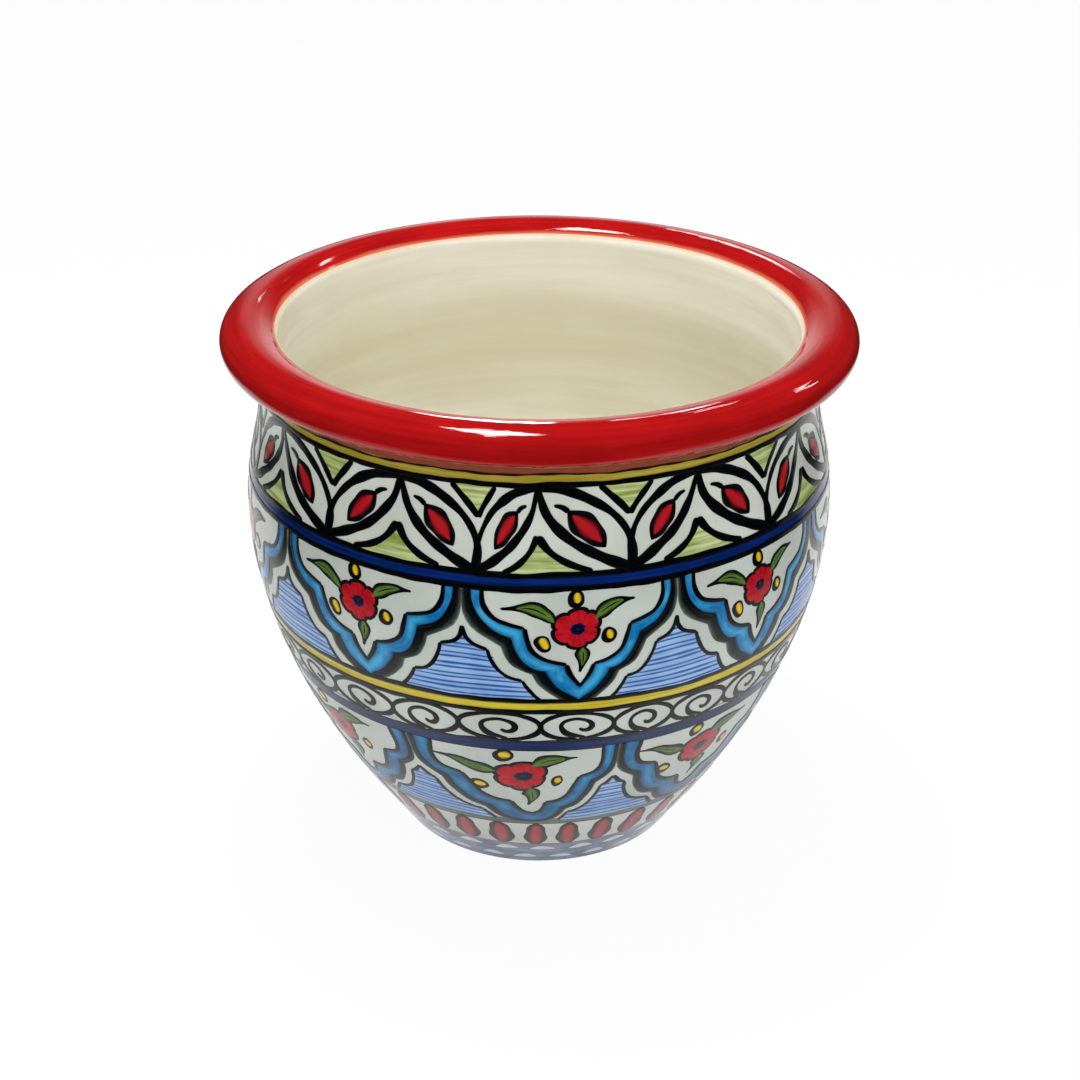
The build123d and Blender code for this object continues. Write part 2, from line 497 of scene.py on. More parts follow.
def stroke(path, widths, layer):
    """A brush stroke along a path. Its width is a rule along it, or a few even steps with round ends."""
    heading = np.gradient(path, axis=0)
    heading /= np.maximum(np.hypot(*heading.T), TINY)[:, None]
    left = np.column_stack([-heading[:, 1], heading[:, 0]])
    travel = lengths_along(path)
    if callable(widths):
        half = widths(travel / travel[-1]) / 2
    else:
        steps = np.linspace(0, travel[-1], len(widths))
        half = np.interp(travel, *smooth(np.column_stack([steps, widths]), WIDTH_POINTS).T) / 2
        to_end = np.minimum(travel, travel[-1] - travel) / np.maximum(half, TINY)
        half = half * np.sqrt(1 - (1 - np.minimum(to_end, 1)) ** 2)
    half *= 1 + UNSTEADY * np.sin(0.5 * travel + path[0, 0]) + UNSTEADY * np.sin(0.21 * travel + path[0, 1])
    return sheet_between(path - left * half[:, None], path + left * half[:, None], layer)


def lobed_disc(centre, radius, lobes, dent, layer, stretch):
    """A flower's disc: round lobes with dents between them, its rows running out from the centre."""
    angle = np.linspace(0, 2 * np.pi, DISC_POINTS)
    reach = radius * (1 - dent + dent * np.sqrt(np.abs(np.sin(lobes * angle / 2))))
    reach *= 1 + 0.05 * np.sin(2 * angle + 1) + 0.03 * np.sin(3 * angle)
    rim = np.column_stack([stretch * reach * np.cos(angle), reach * np.sin(angle)]) + centre
    return sheet_between(np.broadcast_to(centre, rim.shape), rim, layer)


def close_seams(reach):
    """Points of the active object that meet, made one."""
    bpy.ops.object.mode_set(mode="EDIT")
    bpy.ops.mesh.select_all(action="SELECT")
    bpy.ops.mesh.remove_doubles(threshold=reach)
    bpy.ops.object.mode_set(mode="OBJECT")


def patch(rows):
    """One flat sheet of paint: a grid laid where the brush went, its tips and seams closed."""
    across, along = rows.shape[:2]
    bpy.ops.object.select_all(action="DESELECT")
    bpy.ops.mesh.primitive_grid_add(x_subdivisions=along - 1, y_subdivisions=across - 1, size=1)
    made = bpy.context.object
    run_x, run_y = np.gradient(rows[..., 0]), np.gradient(rows[..., 1])
    if np.sum(run_x[1] * run_y[0] - run_x[0] * run_y[1]) < 0:
        rows = rows[:, ::-1]
    made.data.vertices.foreach_set("co", np.ascontiguousarray(rows, float).ravel())
    close_seams(FLAT_SEAM)
    return made


def join(objects, name):
    """Several objects made one."""
    bpy.ops.object.select_all(action="DESELECT")
    for each in objects:
        each.select_set(True)
    bpy.context.view_layer.objects.active = objects[0]
    bpy.ops.object.join()
    objects[0].name = name
    objects[0].data.name = name
    return objects[0]


def lay_round(name, sheets, band, places, half_width, finish, slot, layer):
    """Copies of a flat motif laid round a band, one at each place, as one piece of enamel."""
    flat = join([patch(rows) for rows in sheets], name + "_flat")
    drawn = np.empty(len(flat.data.vertices) * 3)
    flat.data.vertices.foreach_get("co", drawn)
    across, up, lift = drawn.reshape(-1, 3).T
    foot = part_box(band)[0].z / MM
    copies = []
    for left, middle, right in places:
        copy = bpy.data.objects.new(name, flat.data.copy())
        bpy.context.collection.objects.link(copy)
        spread = np.where(across < 0, middle - left, right - middle)
        points = on_pot(middle + across / half_width * spread, foot + up, lift)
        copy.data.vertices.foreach_set("co", points.ravel())
        copies.append(copy)
    bpy.data.objects.remove(flat)
    piece = join(copies, name)
    close_seams(POT_SEAM)
    body = piece.modifiers.new("body", "SOLIDIFY")
    body.thickness = (layer[1] + ROOT_DEPTH) * MM
    body.offset = -1
    bpy.ops.object.modifier_apply(modifier="body")
    bpy.ops.object.shade_smooth_by_angle(angle=SMOOTH_ANGLE)
    piece.data.materials.clear()
    piece.data.materials.append(finish)
    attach(piece, "root")
    return piece


def places_round(edges, middles, count):
    """Repeats all round the pot: those seen in front at their own angles, the rest spread evenly."""
    gap = (edges[0] + 360 - edges[-1]) / (count - len(edges) + 1)
    behind = [edges[-1] + gap * (step + 1) for step in range(count - len(edges) + 1)]
    all_edges = [*edges, *behind]
    spans = list(zip(all_edges, all_edges[1:]))
    all_middles = [*middles, *[(left + right) / 2 for left, right in spans[len(middles):]]]
    return [(left, middle, right) for (left, right), middle in zip(spans, all_middles)]


def gaps_between(places):
    """The places between neighbouring repeats, each centred on the edge that they share."""
    following = [*places[1:], [value + 360 for value in places[0]]]
    return [(here[1], here[2], after[1]) for here, after in zip(places, following)]


# Finishes that several bands share
WHITE_GROUND = ground_glaze("white_ground_glaze", tint(194, 201, 193), tint(180, 187, 179))
# Painted light: the leaf band and the seed band have the same white ground, painted lighter there than on
# the other bands
LEAF_GROUND_PAINTED_LIGHTER = ground_glaze("leaf_ground_painted_lighter", tint(208, 215, 204), tint(194, 201, 190))
SEED_GROUND_PAINTED_LIGHTER = ground_glaze("seed_ground_painted_lighter", tint(216, 217, 211), tint(202, 203, 197))
BLACK_PAINT = stroke_paint("black_line_paint", tint(12, 14, 18), tint(3, 4, 5), 0.6)
RED_PAINT = stroke_paint("seed_red_paint", tint(62, 6, 12), tint(178, 26, 34), 0.5, (0.1, 1.05))
LEAF_PAINT = stroke_paint("leaf_green_paint", tint(24, 44, 18), tint(84, 116, 46), 1.0)
BUD_PAINT = stroke_paint("bud_yellow_paint", tint(128, 94, 8), tint(216, 186, 32), 0.6)
HEART_PAINT = stroke_paint("flower_heart_paint", tint(36, 28, 88), tint(8, 8, 26))
STRIPE_PAINT = stroke_paint("gap_stripe_paint", tint(102, 140, 196), tint(42, 82, 154), 0.6)
PETAL_PAINT = petal_paint()
SHADE_PAINT = shade_paint()
CORNER_PAINT = wash_paint("corner_green_paint", tint(124, 144, 56), tint(202, 212, 156), 600)
GAP_PAINT = wash_paint("gap_blue_paint", tint(122, 158, 206), tint(156, 187, 222), 260)
UPPER_RIBBON_PAINT = ribbon_paint(
    "upper_ribbon_paint", tint(3, 30, 62), tint(5, 98, 158), tint(62, 160, 204))
LOWER_RIBBON_PAINT = ribbon_paint(
    "lower_ribbon_paint", tint(2, 24, 46), tint(4, 78, 126), tint(36, 130, 176))


# Leaf chain under the neck: leaves lean together at the top, a seed in each, green in the corners
LEAF_HALF = 35.8
LEAF_EDGES = [-73, -42, -11.3, 16.8, 47.5]
LEAF_MIDDLES = [-59, -26.5, -0.3, 30.5, 61]
LEAF_REPEATS = 12
LEAF_UPPER = [(-35.8, 0), (-35.6, 12), (-28, 24.5), (-14, 34), (0, 36.6)]
LEAF_LOWER = [(-35.8, 0), (-25, 5), (-13, 13), (-4, 24), (0, 36.6)]
SEED_SPINE = [(-25.5, 9.5), (-19.5, 17.5), (-12, 26)]
SEED_TAIL = [(-12.5, 25.4), (-9.8, 27.6), (-6.5, 28.6)]
TOP_CORNER = [(-35.8, 22.5), (-32, 28), (-24.5, 37)]
FOOT_CORNER = [(0, 15.2), (-4.5, 8.5), (-11, 3.5), (-20, -0.3)]

# Black strokes of one leaf: where each runs, how many points it has, and its widths
LEAF_STROKES = [
    (LEAF_UPPER, 40, [4.4, 3.0, 3.6, 4.4, 3.0]),
    (LEAF_LOWER, 40, [4.0, 4.4, 4.6, 3.6, 2.8]),
    (SEED_TAIL, 14, [2.4, 2.0, 1.2]),
    (TOP_CORNER, 20, [3.2, 3.2, 2.4]),
    (FOOT_CORNER, 24, [3.6, 3.2, 3.0, 2.4]),
]
LEAF_SEED_POINTS = 40
LEAF_SEED_BED = almond(11.4, 0.8)
LEAF_SEED_CORE = almond(6.8, 0.75)
LEAF_SEED_TRIM = 2.6
CORNER_POINTS = 16


def leaf_chain():
    """The leaf band's brushwork, one repeat from root to root of two neighbouring leaves."""
    lines, seeds, greens, seed_beds = [], [], [], []
    for side in (1, -1):
        turned = np.array((side, 1))
        for points, count, widths in LEAF_STROKES:
            lines.append(stroke(smooth(points * turned, count), widths, LINE))
        spine = smooth(SEED_SPINE * turned, LEAF_SEED_POINTS)
        seed_beds.append(stroke(spine, LEAF_SEED_BED, BODY))
        seeds.append(stroke(trimmed(spine, LEAF_SEED_TRIM, LEAF_SEED_TRIM), LEAF_SEED_CORE, TOP))
        for corner, middle in ((TOP_CORNER, -LEAF_HALF * side), (FOOT_CORNER, 0.0)):
            edge = smooth(corner * turned, CORNER_POINTS)
            upright = np.column_stack([np.full(CORNER_POINTS, middle), edge[:, 1]])
            greens.append(sheet_between(upright, edge, WASH))
    return lines, seed_beds, seeds, greens


leaf_places = places_round(LEAF_EDGES, LEAF_MIDDLES, LEAF_REPEATS)
leaf_lines, leaf_seed_beds, leaf_seeds, leaf_greens = leaf_chain()
leaf_job = ("leaf_band", leaf_places, LEAF_HALF)
lay_round("leaf_lines", leaf_lines, *leaf_job, BLACK_PAINT, "black_glaze", LINE)
lay_round("leaf_seed_beds", leaf_seed_beds, *leaf_job, BLACK_PAINT, "black_glaze", BODY)
lay_round("leaf_seeds", leaf_seeds, *leaf_job, RED_PAINT, "red_glaze", TOP)
lay_round("leaf_corners", leaf_greens, *leaf_job, CORNER_PAINT, "grey_green_glaze", WASH)


# Lappets: hanging scalloped panels with a turquoise ribbon, a flower sprig in each, striped gaps between
UPPER_HALF = 49.0
UPPER_EDGES = [-54, -13.4, 25, 62]
UPPER_MIDDLES = [-33.5, 7.7, 45]
UPPER_REPEATS = 9
UPPER_INNER = [
    [(40.8, 56.5), (40.3, 49), (36.4, 43), (30.5, 40.2), (23.4, 38.3)],
    [(23.4, 38.3), (22.1, 33), (19.7, 26.5), (13.8, 22), (6.2, 19.5)],
    [(6.2, 19.5), (4.9, 15), (2.5, 11), (0, 7.5)],
]
UPPER_OUTER = [
    [(45.8, 56.5), (45.5, 50), (42.6, 43), (36.9, 36.5), (29.3, 33)],
    [(29.3, 33), (27.8, 28), (24.6, 21.5), (19.7, 17), (15.5, 16)],
    [(15.5, 16), (13.8, 11.5), (9.3, 5.5), (0, -1)],
]
UPPER_SHADE = [
    [(49, 56.5), (49, 50), (48.3, 43.5), (44.3, 36.5), (33, 29)],
    [(33, 29), (31.2, 24), (27.6, 18.5), (20.4, 14.5)],
    [(20.4, 14.5), (18.2, 9), (13.8, 4), (7.5, -1)],
]
UPPER_MARGIN = [
    [(0, 38), (1.3, 32.5), (4.7, 29), (10.4, 27)],
    [(10.4, 27), (11.6, 22.5), (14.6, 16.5), (19, 12.3), (24.4, 10.8)],
    [(24.4, 10.8), (26.1, 6.8), (29.3, 1.8), (32, -0.8)],
]
LOWER_HALF = 46.7
LOWER_EDGES = [-73, -28.2, 16.9, 62]
LOWER_MIDDLES = [-50, -1.3, 41]
LOWER_REPEATS = 8
LOWER_INNER = [
    [(37.4, 55), (38.3, 44.5), (35.5, 38), (27.1, 34.8)],
    [(27.1, 34.8), (24.3, 28), (21.5, 21.3), (15.9, 17), (8.4, 15.5)],
    [(8.4, 15.5), (6.8, 11.2), (4.2, 7.3), (0, 5.3)],
]
LOWER_OUTER = [
    [(44.8, 55), (44.4, 42.5), (40.4, 34.3), (34.3, 30.5)],
    [(34.3, 30.5), (32.2, 22.3), (26.6, 14), (18.9, 10.6)],
    [(18.9, 10.6), (15.4, 4.3), (8.9, -0.5), (0, -2)],
]
LOWER_SHADE = [
    [(46.7, 55), (46.7, 42.5), (44.8, 35.7), (36.9, 28.5)],
    [(36.9, 28.5), (34.8, 21.3), (29, 12.6), (21.5, 9)],
    [(21.5, 9), (17.7, 3.4), (11.7, -0.8), (6, -2)],
]
LOWER_MARGIN = [
    [(0, 32), (3.3, 27.6), (6.5, 25.6)],
    [(6.5, 25.6), (7.9, 19.4), (12.6, 11.2), (19.6, 7.3), (23.8, 6.3)],
    [(23.8, 6.3), (26.6, 2.4), (29.4, -0.8)],
]
RUN_POINTS = 20
MARGIN_POINTS = 18
INNER_LINE_WIDTHS = [1.8, 2.2, 2.0, 1.8]
OUTER_LINE_WIDTHS = [1.2, 1.6, 1.4, 1.2]
MARGIN_WIDTHS = [1.6, 2.0, 1.6]

# Stripes in a gap: their heights, widths, how far they run past the margin, and how much they waver
STRIPE_STEP = 2.75
FIRST_STRIPE = 1.2
STRIPE_HEADROOM = 5
STRIPE_WIDTHS = np.array([0.8, 1.3, 1.1, 1.4, 0.8])
LEFT_OVERRUN, RIGHT_OVERRUN = 0.3, 0.9
END_WAVER, LEVEL_WAVER, WIDTH_WAVER = 0.8, 0.35, 0.2
STRIPE_SAG = 0.3


def lappet(inner, outer, shade):
    """One hanging panel: its ribbon, the dark edging outside it and the black lines along it."""
    ribbons, shades, lines = [], [], []
    for side in (1, -1):
        turned = np.array((side, 1))
        edges = [scalloped(runs) * turned for runs in (inner, outer, shade)]
        ribbons.append(sheet_between(edges[0], edges[1], BODY, LAPPET_ROWS))
        shades.append(sheet_between(edges[1], edges[2], SHADE, LAPPET_ROWS))
        for run in inner:
            lines.append(stroke(smooth(run * turned, RUN_POINTS), INNER_LINE_WIDTHS, LINE))
        for run in outer:
            lines.append(stroke(smooth(run * turned, RUN_POINTS), OUTER_LINE_WIDTHS, TOP))
    return ribbons, shades, lines


def striped_gap(margin):
    """The space between two panels: a thin black margin, a blue wash, and level stripes in it."""
    lines, washes, stripes = [], [], []
    edge = scalloped(margin)
    washes.append(sheet_between(mirrored(edge), edge, WASH, WASH_ROWS))
    for side in (1, -1):
        turned = np.array((side, 1))
        for run in margin:
            lines.append(stroke(smooth(run * turned, MARGIN_POINTS), MARGIN_WIDTHS, LINE))
    peak = edge[0, 1]
    for step, level in enumerate(np.arange(FIRST_STRIPE, peak - STRIPE_HEADROOM, STRIPE_STEP)):
        height = level + LEVEL_WAVER * math.sin(2.9 * step)
        reach = np.interp(-height, -edge[:, 1], edge[:, 0])
        left = -reach - LEFT_OVERRUN + END_WAVER * math.sin(2.3 * step)
        right = reach + RIGHT_OVERRUN + END_WAVER * math.sin(1.7 * step + 1)
        middle = height + STRIPE_SAG * math.sin(step)
        path = smooth([(left, height - STRIPE_SAG), (0, middle), (right, height)], RUN_POINTS)
        widths = STRIPE_WIDTHS * (1 + WIDTH_WAVER * math.sin(1.3 * step))
        stripes.append(stroke(path, widths, SHADE))
    return lines, washes, stripes


# Flowers: lobes of the petals and the heart, how deep the dents are, and the black past the petals
PETAL_LOBES, HEART_LOBES = 6, 7
BED_DENT, PETAL_DENT, HEART_DENT = 0.12, 0.2, 0.15
PETAL_EDGE = 1.7

# Leaves of a sprig: the black under one is a share of its width and some more, the green stops short
# of its tip, and the vein stops short of both ends, by shares of its length
SPRIG_LEAF_POINTS = 40
LEAF_BED_SHARES = np.array([0, 0.8, 1.0, 0.8, 0.4, 0, 0])
LEAF_BED_EDGES = np.array([2.0, 2.0, 2.4, 2.2, 2.0, 2.0, 1.0])
GREEN_FULLNESS, GREEN_LEAN = 0.8, 0.85
GREEN_ROOT_TRIM, GREEN_TIP_SHARE = 0.6, 0.24
VEIN_ROOT_SHARE, VEIN_TIP_SHARE = 0.2, 0.3
VEIN_WIDTHS = [0.3, 0.7, 0.3]

# Buds: yellow over black, which shows most to the lower left
BUD_POINTS = 24
BUD_BED_EDGES = np.array([2.4, 3.0, 2.4])
BUD_SHARES = np.array([0.8, 0.9, 0.8])
BUD_TRIM = 1.4
BUD_SHADOW = np.array((0.5, 0.4))


def sprig(flower, size, leaves, buds, heart):
    """A flower with its leaves and buds, each edged in black by a larger stroke beneath."""
    beds, petals, hearts, greens, yellows, veins = [], [], [], [], [], []
    wide, tall = size
    stretch = wide / tall
    beds.append(lobed_disc(flower, tall / 2 + PETAL_EDGE, PETAL_LOBES, BED_DENT, BODY, stretch))
    petals.append(lobed_disc(flower, tall / 2, PETAL_LOBES, PETAL_DENT, TOP, stretch))
    hearts.append(lobed_disc(flower, heart, HEART_LOBES, HEART_DENT, LINE, stretch))
    for points, width in leaves:
        line = smooth(points, SPRIG_LEAF_POINTS)
        reach = lengths_along(line)[-1]
        green = trimmed(line, GREEN_ROOT_TRIM, GREEN_TIP_SHARE * reach)
        vein = trimmed(line, VEIN_ROOT_SHARE * reach, VEIN_TIP_SHARE * reach)
        beds.append(stroke(line, LEAF_BED_SHARES * width + LEAF_BED_EDGES, BODY))
        greens.append(stroke(green, almond(width, GREEN_FULLNESS, GREEN_LEAN), TOP))
        veins.append(stroke(vein, VEIN_WIDTHS, LINE))
    for points, width in buds:
        line = smooth(points, BUD_POINTS)
        beds.append(stroke(line - BUD_SHADOW, width + BUD_BED_EDGES, BODY))
        yellows.append(stroke(trimmed(line, BUD_TRIM, BUD_TRIM), BUD_SHARES * width, TOP))
    return beds, petals, hearts, greens, yellows, veins


UPPER_FLOWER, UPPER_FLOWER_SIZE, UPPER_HEART = (-1.8, 38.3), (18.8, 18.8), 3.2
UPPER_LEAVES = [
    ([(5.5, 42), (11, 46.5), (18, 49.4), (26, 50.2)], 5.0),
    ([(-11, 41.4), (-15.5, 45.6), (-22, 48.4), (-33.5, 47.4)], 5.4),
    ([(0.2, 29.5), (0.6, 22), (-0.6, 15.2)], 5.0),
]
UPPER_BUDS = [
    ([(-3.2, 56.6), (-1.9, 48.6)], 4.4),
    ([(-16.8, 35), (-13.4, 26.8)], 4.2),
    ([(12.0, 38.2), (14.8, 30.8)], 4.0),
]
LOWER_FLOWER, LOWER_FLOWER_SIZE, LOWER_HEART = (-3.3, 36.2), (20.4, 19.6), 3.6
LOWER_LEAVES = [
    ([(-13, 39.3), (-21, 41.5), (-29, 45.5), (-37.5, 46.4)], 5.6),
    ([(-1, 43), (7, 47), (15, 48.5), (24, 49.3)], 6.6),
    ([(-0.5, 28), (1, 21), (-1.5, 13)], 7.2),
]
LOWER_BUDS = [
    ([(-13.4, 52.2), (-6.2, 49.8)], 5.0),
    ([(-24.8, 28.8), (-16.8, 27.2)], 4.8),
    ([(11.8, 33.8), (18.2, 31.6)], 5.0),
]


def paint_lappets(level, band, places, half_width, ribbon_finish, lappet_parts, gap_parts, sprig_parts):
    """All the brushwork of one row of lappets."""
    job = (band, places, half_width)
    gap_job = (band, gaps_between(places), half_width)
    ribbons, shades, lines = lappet_parts
    margins, washes, stripes = gap_parts
    beds, petals, hearts, greens, yellows, veins = sprig_parts
    lay_round(level + "_gap_wash", washes, *gap_job, GAP_PAINT, "cobalt_glaze", WASH)
    lay_round(level + "_gap_stripes", stripes, *gap_job, STRIPE_PAINT, "cobalt_glaze", SHADE)
    lay_round(level + "_gap_margins", margins, *gap_job, BLACK_PAINT, "black_glaze", LINE)
    lay_round(level + "_lappet_shades", shades, *job, SHADE_PAINT, "black_glaze", SHADE)
    lay_round(level + "_lappet_ribbons", ribbons, *job, ribbon_finish, "cobalt_glaze", BODY)
    lay_round(level + "_lappet_lines", lines, *job, BLACK_PAINT, "black_glaze", LINE)
    lay_round(level + "_sprig_edges", beds, *job, BLACK_PAINT, "black_glaze", BODY)
    lay_round(level + "_petals", petals, *job, PETAL_PAINT, "red_glaze", TOP)
    lay_round(level + "_flower_hearts", hearts, *job, HEART_PAINT, "navy_glaze", LINE)
    lay_round(level + "_leaves", greens, *job, LEAF_PAINT, "grey_green_glaze", TOP)
    lay_round(level + "_leaf_veins", veins, *job, BLACK_PAINT, "black_glaze", LINE)
    lay_round(level + "_buds", yellows, *job, BUD_PAINT, "yellow_glaze", TOP)


upper_places = places_round(UPPER_EDGES, UPPER_MIDDLES, UPPER_REPEATS)
lower_places = places_round(LOWER_EDGES, LOWER_MIDDLES, LOWER_REPEATS)
paint_lappets(
    "upper", "upper_lappet_band", upper_places, UPPER_HALF, UPPER_RIBBON_PAINT,
    lappet(UPPER_INNER, UPPER_OUTER, UPPER_SHADE), striped_gap(UPPER_MARGIN),
    sprig(UPPER_FLOWER, UPPER_FLOWER_SIZE, UPPER_LEAVES, UPPER_BUDS, UPPER_HEART))
paint_lappets(
    "lower", "lower_lappet_band", lower_places, LOWER_HALF, LOWER_RIBBON_PAINT,
    lappet(LOWER_INNER, LOWER_OUTER, LOWER_SHADE), striped_gap(LOWER_MARGIN),
    sprig(LOWER_FLOWER, LOWER_FLOWER_SIZE, LOWER_LEAVES, LOWER_BUDS, LOWER_HEART))


# Running scroll round the belly: ovals that touch, a curl springing from the foot of each
SCROLL_HALF = 17.0
SCROLL_EDGES = [-58, -45, -29.6, -15.9, 0.4, 14.7, 27.4, 40, 53]
SCROLL_REPEATS = 25
SCROLL_MIDDLE = 7.1
SCROLL_RISE = 8.4
SCROLL_CURL = [
    (3.4, -0.4), (-4.6, 2.2), (-7.6, 6.6), (-6.2, 10.2), (-0.7, 12),
    (4.8, 10.2), (6.5, 7.2), (5, 4.7), (2.3, 4.3), (0.5, 5.8),
]
OVAL_POINTS = 64
CURL_POINTS = 56
OVAL_WIDTHS = [1.6, 2.5, 2.5, 1.6, 2.5, 2.5, 1.6]
CURL_WIDTHS = [1.4, 2.5, 2.9, 2.2, 1.8, 2.0, 2.6, 2.4, 1.6]


def scroll():
    """One oval and its curl."""
    turn = np.linspace(-np.pi / 2, 1.5 * np.pi, OVAL_POINTS)
    oval = np.column_stack([SCROLL_HALF * np.cos(turn), SCROLL_MIDDLE + SCROLL_RISE * np.sin(turn)])
    return [
        stroke(oval, OVAL_WIDTHS, LINE),
        stroke(smooth(SCROLL_CURL, CURL_POINTS), CURL_WIDTHS, LINE),
    ]


scroll_middles = [(left + right) / 2 for left, right in zip(SCROLL_EDGES, SCROLL_EDGES[1:])]
scroll_places = places_round(SCROLL_EDGES, scroll_middles, SCROLL_REPEATS)
scroll_job = ("scroll_band", scroll_places, SCROLL_HALF)
lay_round("scroll_lines", scroll(), *scroll_job, BLACK_PAINT, "black_glaze", LINE)


# Lines between the bands, gone over by hand, and a painted shadow under the collar
RING_REPEATS = 12
RING_HALF = RING_REPEATS * np.pi
RING_STEP = 360 / RING_REPEATS
RING_TURNS = np.arange(0, 360, RING_STEP)
RING_PLACES = [(turn - RING_STEP / 2, turn, turn + RING_STEP / 2) for turn in RING_TURNS]
RING_POINTS = 41
RING_WAVER = 0.3
BLACK_HALF_LINE = 1.15
COLLAR_SHADOW_HALF = 0.45

# The scroll's white runs down over the black line at its foot, and navy edges it: middle and half height
SCROLL_FOOT_GROUND = (-0.7, 0.8)
WAIST_EDGE_LINE = (-1.9, 0.5)
WAIST_EDGE_PAINT = stroke_paint("waist_edge_paint", tint(6, 10, 24), tint(12, 22, 50), 0.6)
# Painted shadow: a thin dark brown line where the rim's collar meets the neck's yellow line
COLLAR_SHADOW_PAINT = stroke_paint("collar_shadow_paint", tint(44, 24, 12), tint(24, 13, 8), 0.8)


def ring_line(name, band, middle, half_line, paint, slot, layer=LINE):
    """A line round the pot, its middle at a height over a band's foot, that wavers in width."""
    turn = np.linspace(-np.pi, np.pi, RING_POINTS)
    across = RING_REPEATS * turn
    lower = middle - half_line - RING_WAVER * np.sin(2 * turn) * np.cos(3 * turn)
    upper = middle + half_line + RING_WAVER * np.sin(3 * turn) * np.cos(turn)
    sheet = sheet_between(np.column_stack([across, lower]), np.column_stack([across, upper]), layer)
    lay_round(name, [sheet], band, RING_PLACES, RING_HALF, paint, slot, layer)


def band_height(band):
    """How tall a band is, in millimetres."""
    low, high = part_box(band)
    return (high.z - low.z) / MM


for ringed in ("leaf_band", "upper_lappet_band", "scroll_band"):
    head = band_height(ringed) + BLACK_HALF_LINE
    ring_line(ringed + "_head_line", ringed, head, BLACK_HALF_LINE, BLACK_PAINT, "black_glaze")
for ringed in ("leaf_band", "upper_lappet_band"):
    ring_line(ringed + "_foot_line", ringed, -BLACK_HALF_LINE, BLACK_HALF_LINE, BLACK_PAINT, "black_glaze")
ring_line("scroll_foot_ground", "scroll_band", *SCROLL_FOOT_GROUND, WHITE_GROUND, "white_glaze", WASH)
ring_line("waist_edge_line", "scroll_band", *WAIST_EDGE_LINE, WAIST_EDGE_PAINT, "navy_glaze")
# Painted shadow along the top of the neck's yellow line, under the rim's collar
collar_shadow_middle = band_height("neck_yellow_line") - COLLAR_SHADOW_HALF
ring_line("collar_line", "neck_yellow_line", collar_shadow_middle, COLLAR_SHADOW_HALF, COLLAR_SHADOW_PAINT, "brown_glaze")


# Seed row above the foot, and the pale dashes on the foot's wash
SEED_HALF = 8.3
SEED_LINE = [(0.3, 21.4), (0.2, 10), (0, -0.8)]
SEED_POINTS = 40
SEED_BED, SEED_CORE = drop(12.4), drop(8.2)
SEED_TOP_TRIM, SEED_FOOT_TRIM = 1.6, 0.8
SEED_EDGES = [-37.5, -27.3, -16.8, -6.3, 4, 14, 24.7, 35.5]
SEED_MIDDLES = [-32.5, -22.1, -11.6, -1, 9, 19.1, 30.3]
SEED_REPEATS = 35
DASH_HALF = 9.0
DASH_EDGES = [-17, -4.8, 8, 21.2]
DASH_MIDDLES = [-10.9, 1.4, 14.8]
DASH_REPEATS = 28
DASH_POINTS = 20
UPPER_DASH, UPPER_DASH_WIDTHS = [(-6, 13.2), (0, 14.8), (6, 13.8)], [0.4, 3.0, 4.2, 3.0, 0.4]
LOWER_DASH, LOWER_DASH_WIDTHS = [(3, 4.6), (9, 5.8), (15, 5)], [0.4, 3.0, 4.0, 3.0, 0.4]
DASH_PAINT = stroke_paint("foot_dash_paint", tint(186, 196, 210), tint(222, 228, 234), 0.6)

seed_line = smooth(SEED_LINE, SEED_POINTS)
seed_bed = stroke(seed_line, SEED_BED, BODY)
seed_core = stroke(trimmed(seed_line, SEED_TOP_TRIM, SEED_FOOT_TRIM), SEED_CORE, TOP)
seed_job = ("seed_band", places_round(SEED_EDGES, SEED_MIDDLES, SEED_REPEATS), SEED_HALF)
lay_round("seed_row_edges", [seed_bed], *seed_job, BLACK_PAINT, "black_glaze", BODY)
lay_round("seed_row_hearts", [seed_core], *seed_job, RED_PAINT, "red_glaze", TOP)
dashes = [
    stroke(smooth(UPPER_DASH, DASH_POINTS), UPPER_DASH_WIDTHS, WASH),
    stroke(smooth(LOWER_DASH, DASH_POINTS), LOWER_DASH_WIDTHS, WASH),
]
dash_job = ("foot_wave_band", places_round(DASH_EDGES, DASH_MIDDLES, DASH_REPEATS), DASH_HALF)
lay_round("foot_dashes", dashes, *dash_job, DASH_PAINT, "white_glaze", WASH)


